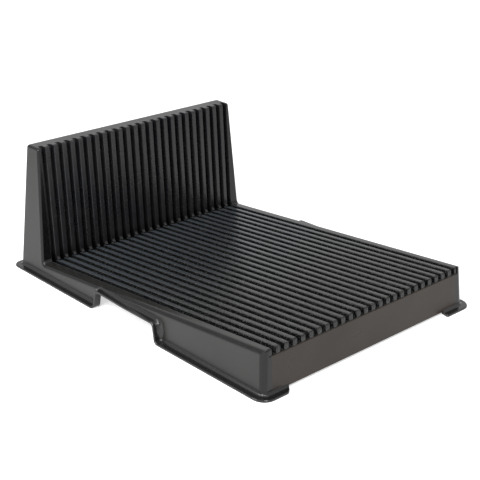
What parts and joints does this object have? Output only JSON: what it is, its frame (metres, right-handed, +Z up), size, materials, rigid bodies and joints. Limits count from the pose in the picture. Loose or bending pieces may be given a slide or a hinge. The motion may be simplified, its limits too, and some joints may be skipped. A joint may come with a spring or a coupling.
{
  "type": "pcb magazine rack",
  "caption": "Black formed plastic rack: a slotted, sloping deck meets a slotted wall at a right angle, so circuit boards stand side by side on two edges; flanged base with hand recesses.",
  "frame": {"origin": "middle of the footprint, flanges included, on the table that the rack stands on", "axes": "+X across the slots to the right, +Y from the open front to the upright wall, +Z up"},
  "size_m": [0.2836, 0.369, 0.13],
  "materials": {
    "slotted_plastic": "semi-gloss black conductive plastic, formed, with faint draw marks",
    "panel_plastic": "semi-gloss black conductive plastic, smooth drawn sides",
    "flange_plastic": "semi-gloss black conductive plastic, trimmed edge"
  },
  "bodies": {
    "root": {"deck_ribs": "slotted_plastic", "deck_slot_floors": "slotted_plastic", "wall_ribs": "slotted_plastic", "wall_slot_floors": "slotted_plastic", "wall_top": "panel_plastic", "rear_panel": "panel_plastic", "front_skirt": "panel_plastic", "left_side_panel": "panel_plastic", "right_side_panel": "panel_plastic", "left_edge": "panel_plastic", "right_edge": "panel_plastic", "left_front_foot": "flange_plastic", "right_front_foot": "flange_plastic", "left_front_flange": "flange_plastic", "right_front_flange": "flange_plastic", "left_recess_lip": "flange_plastic", "right_recess_lip": "flange_plastic", "left_rear_flange": "flange_plastic", "right_rear_flange": "flange_plastic", "rear_flange": "flange_plastic"}
  },
  "joints": []
}
